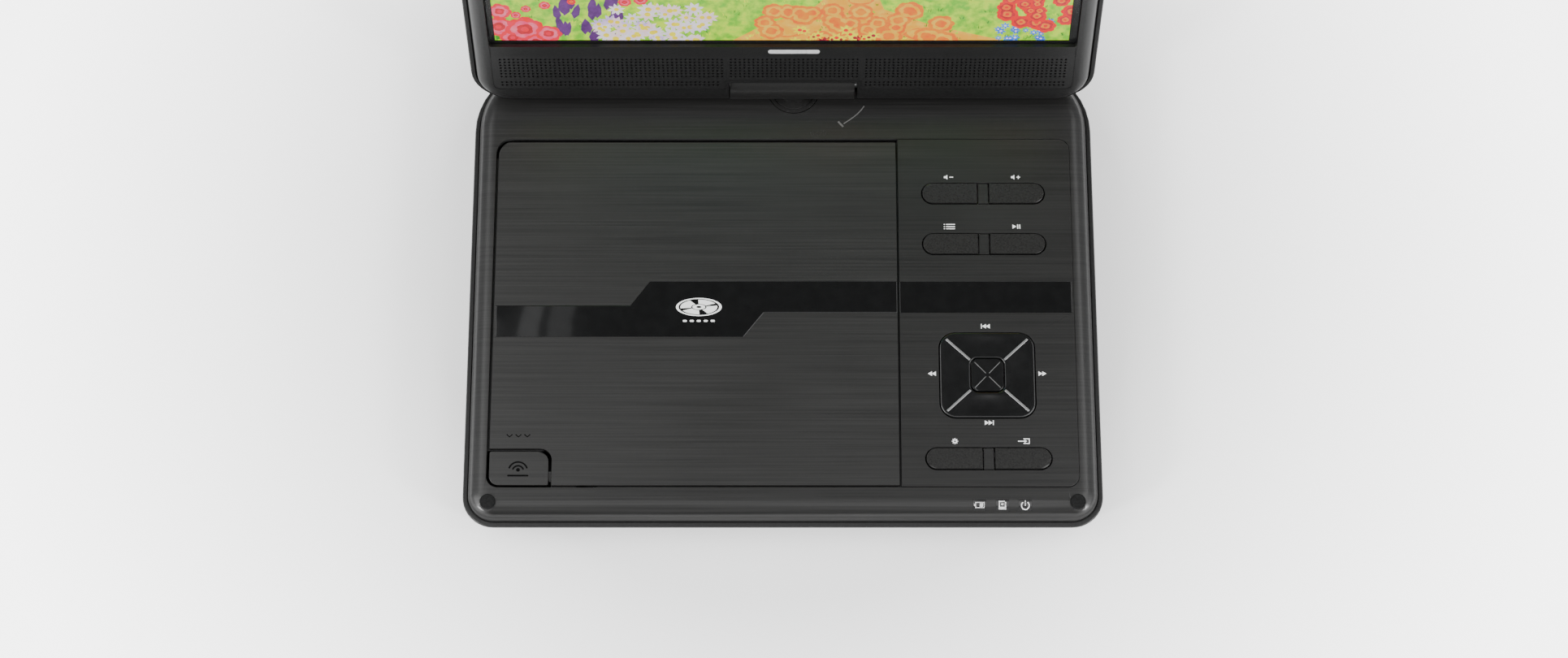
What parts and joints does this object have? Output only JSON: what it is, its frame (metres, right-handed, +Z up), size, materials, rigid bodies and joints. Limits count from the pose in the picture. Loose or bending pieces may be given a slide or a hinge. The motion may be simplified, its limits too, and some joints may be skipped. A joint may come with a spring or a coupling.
{
  "type": "portable dvd player",
  "caption": "Clamshell disc player with a display lid on a swivel hinge, a sprung disc door, a key panel with a direction pad, and a loader mechanism inside.",
  "frame": {"origin": "on the table, under the middle of the open player's footprint, lid included", "axes": "+X to the user's right along the hinge, +Y away from the user, +Z up"},
  "size_m": [0.2452, 0.2326, 0.2048],
  "materials": {
    "case_plastic": "fine satin texture, black",
    "brushed_plastic": "charcoal with brushed lines across, satin",
    "bezel_plastic": "black satin",
    "gloss_stripe": "piano black, polished",
    "well_plastic": "black, fine spark texture",
    "pressed_steel": "pressed zinc-plated sheet",
    "ground_steel": "ground and polished",
    "board": "green solder mask",
    "silicone": "translucent grey silicone",
    "cell_wrap": "blue heat-shrink wrap",
    "socket_plastic": "black moulded",
    "socket_metal": "nickel-plated",
    "lens_plastic": "smoked lens",
    "black_rubber": "matt black",
    "screw_steel": "black zinc",
    "hinge_plastic": "satin black",
    "window_glass": "clear anti-scratch window",
    "display_module": "dark display face with a lit picture",
    "grille_plastic": "black, fine perforated grid",
    "speaker_cone": "coated paper cone in a steel basket",
    "badge_silver": "blank silver badge",
    "key_plastic": "satin black",
    "pad_gloss": "piano black",
    "rib_silver": "grey satin metallic",
    "hub_plastic": "black with a rubber ring",
    "sled_plastic": "filled black nylon",
    "lens_glass": "coated lens",
    "screw_brass": "rolled thread"
  },
  "bodies": {
    "base": {"lower_case": "case_plastic", "upper_deck": "brushed_plastic", "control_panel": "brushed_plastic", "panel_stripe": "gloss_stripe", "disc_well": "well_plastic", "loader_chassis": "pressed_steel", "chassis_dampers": "black_rubber", "guide_rods": "ground_steel", "spindle_motor": "pressed_steel", "sled_motor": "pressed_steel", "main_board": "board", "keypad_board": "board", "key_membrane": "silicone", "battery_pack": "cell_wrap", "earphone_sockets": "socket_plastic", "video_socket": "socket_plastic", "usb_socket": "socket_metal", "card_socket": "socket_metal", "power_inlet": "socket_plastic", "indicator_lenses": "lens_plastic", "deck_bumpers": "black_rubber", "rubber_feet": "black_rubber", "case_screws": "screw_steel", "door_hinge_pins": "ground_steel", "latch_spring": "pressed_steel", "swivel_bearing": "pressed_steel"},
    "swivel": {"swivel_turntable": "hinge_plastic", "swivel_retainer": "pressed_steel", "hinge_barrel": "hinge_plastic", "hinge_shafts": "ground_steel"},
    "lid": {"lid_front_bezel": "bezel_plastic", "lid_rear_cover": "case_plastic", "display_window": "window_glass", "display_panel": "display_module", "display_board": "board", "speaker_grille": "grille_plastic", "speakers": "speaker_cone", "lid_hinge_brackets": "pressed_steel", "lid_screws": "screw_steel", "lid_badge": "badge_silver"},
    "door": {"disc_door": "brushed_plastic", "door_stripe": "gloss_stripe"},
    "open_button": {"open_button": "brushed_plastic"},
    "latch": {"latch_hook": "well_plastic"},
    "volume_down": {"volume_down_key": "key_plastic"},
    "volume_up": {"volume_up_key": "key_plastic"},
    "menu": {"menu_key": "key_plastic"},
    "play": {"play_key": "key_plastic"},
    "setup": {"setup_key": "key_plastic"},
    "source": {"source_key": "key_plastic"},
    "pad_rocker": {"pad_rocker_ring": "silicone"},
    "pad": {"direction_pad": "pad_gloss", "pad_ribs": "rib_silver"},
    "enter": {"enter_key": "pad_gloss"},
    "power": {"power_switch": "key_plastic"},
    "spindle": {"disc_hub": "hub_plastic", "spindle_shaft": "ground_steel"},
    "sled": {"laser_sled": "sled_plastic", "laser_lens": "lens_glass"},
    "screw": {"sled_screw": "screw_brass"}
  },
  "joints": [
    {"name": "lid_hinge", "type": "hinge", "parent": "swivel", "child": "lid", "pos_m": [0.0043, 0.06213, 0.033], "axis": [-1, 0, 0], "range_deg": [-106, 74]},
    {"name": "swivel_turn", "type": "hinge", "parent": "base", "child": "swivel", "pos_m": [0.0043, 0.06213, 0.025], "axis": [0, 0, 1], "range_deg": [-180, 0]},
    {"name": "door_hinge", "type": "hinge", "parent": "base", "child": "door", "pos_m": [0, 0.03603, 0.0217], "axis": [-1, 0, 0], "range_deg": [0, 56]},
    {"name": "open_button_press", "type": "slide", "parent": "base", "child": "open_button", "axis": [0, 0, -1], "range_m": [0, 0.0012], "stiffness_N_per_m": 700, "springref_m": -0.0012},
    {"name": "latch_slide", "type": "slide", "parent": "base", "child": "latch", "axis": [1, 0, 0], "range_m": [0, 0.0012]},
    {"name": "volume_down_press", "type": "slide", "parent": "base", "child": "volume_down", "axis": [0, 0, -1], "range_m": [0, 0.0006], "stiffness_N_per_m": 600, "springref_m": -0.0006},
    {"name": "volume_up_press", "type": "slide", "parent": "base", "child": "volume_up", "axis": [0, 0, -1], "range_m": [0, 0.0006], "stiffness_N_per_m": 600, "springref_m": -0.0006},
    {"name": "menu_press", "type": "slide", "parent": "base", "child": "menu", "axis": [0, 0, -1], "range_m": [0, 0.0006], "stiffness_N_per_m": 600, "springref_m": -0.0006},
    {"name": "play_press", "type": "slide", "parent": "base", "child": "play", "axis": [0, 0, -1], "range_m": [0, 0.0006], "stiffness_N_per_m": 600, "springref_m": -0.0006},
    {"name": "setup_press", "type": "slide", "parent": "base", "child": "setup", "axis": [0, 0, -1], "range_m": [0, 0.0006], "stiffness_N_per_m": 600, "springref_m": -0.0006},
    {"name": "source_press", "type": "slide", "parent": "base", "child": "source", "axis": [0, 0, -1], "range_m": [0, 0.0006], "stiffness_N_per_m": 600, "springref_m": -0.0006},
    {"name": "pad_tilt_back", "type": "hinge", "parent": "base", "child": "pad_rocker", "pos_m": [0.07885, -0.05752, 0.0215], "axis": [1, 0, 0], "range_deg": [-2.2, 2.2], "stiffness_Nm_per_rad": 1.2},
    {"name": "pad_tilt_side", "type": "hinge", "parent": "pad_rocker", "child": "pad", "pos_m": [0.07885, -0.05752, 0.0215], "axis": [0, 1, 0], "range_deg": [-2.2, 2.2], "stiffness_Nm_per_rad": 1.2},
    {"name": "enter_press", "type": "slide", "parent": "base", "child": "enter", "axis": [0, 0, -1], "range_m": [0, 0.0006], "stiffness_N_per_m": 600, "springref_m": -0.0006},
    {"name": "power_slide", "type": "slide", "parent": "base", "child": "power", "axis": [0, 1, 0], "range_m": [0, 0.004]},
    {"name": "spindle_spin", "type": "hinge", "parent": "base", "child": "spindle", "pos_m": [-0.0335, -0.03127, 0.018], "axis": [0, 0, 1], "continuous": true},
    {"name": "sled_travel", "type": "slide", "parent": "base", "child": "sled", "axis": [0, -1, 0], "range_m": [0, 0.034]},
    {"name": "screw_spin", "type": "hinge", "parent": "base", "child": "screw", "pos_m": [-0.0015, -0.07027, 0.0096], "axis": [0, 1, 0], "range_deg": [0, 4082]}
  ],
  "couplings": [
    {"joint": "latch_slide", "follows": "open_button_press", "ratio": 1},
    {"joint": "screw_spin", "follows": "sled_travel", "rad_per_m": 2094.4}
  ]
}
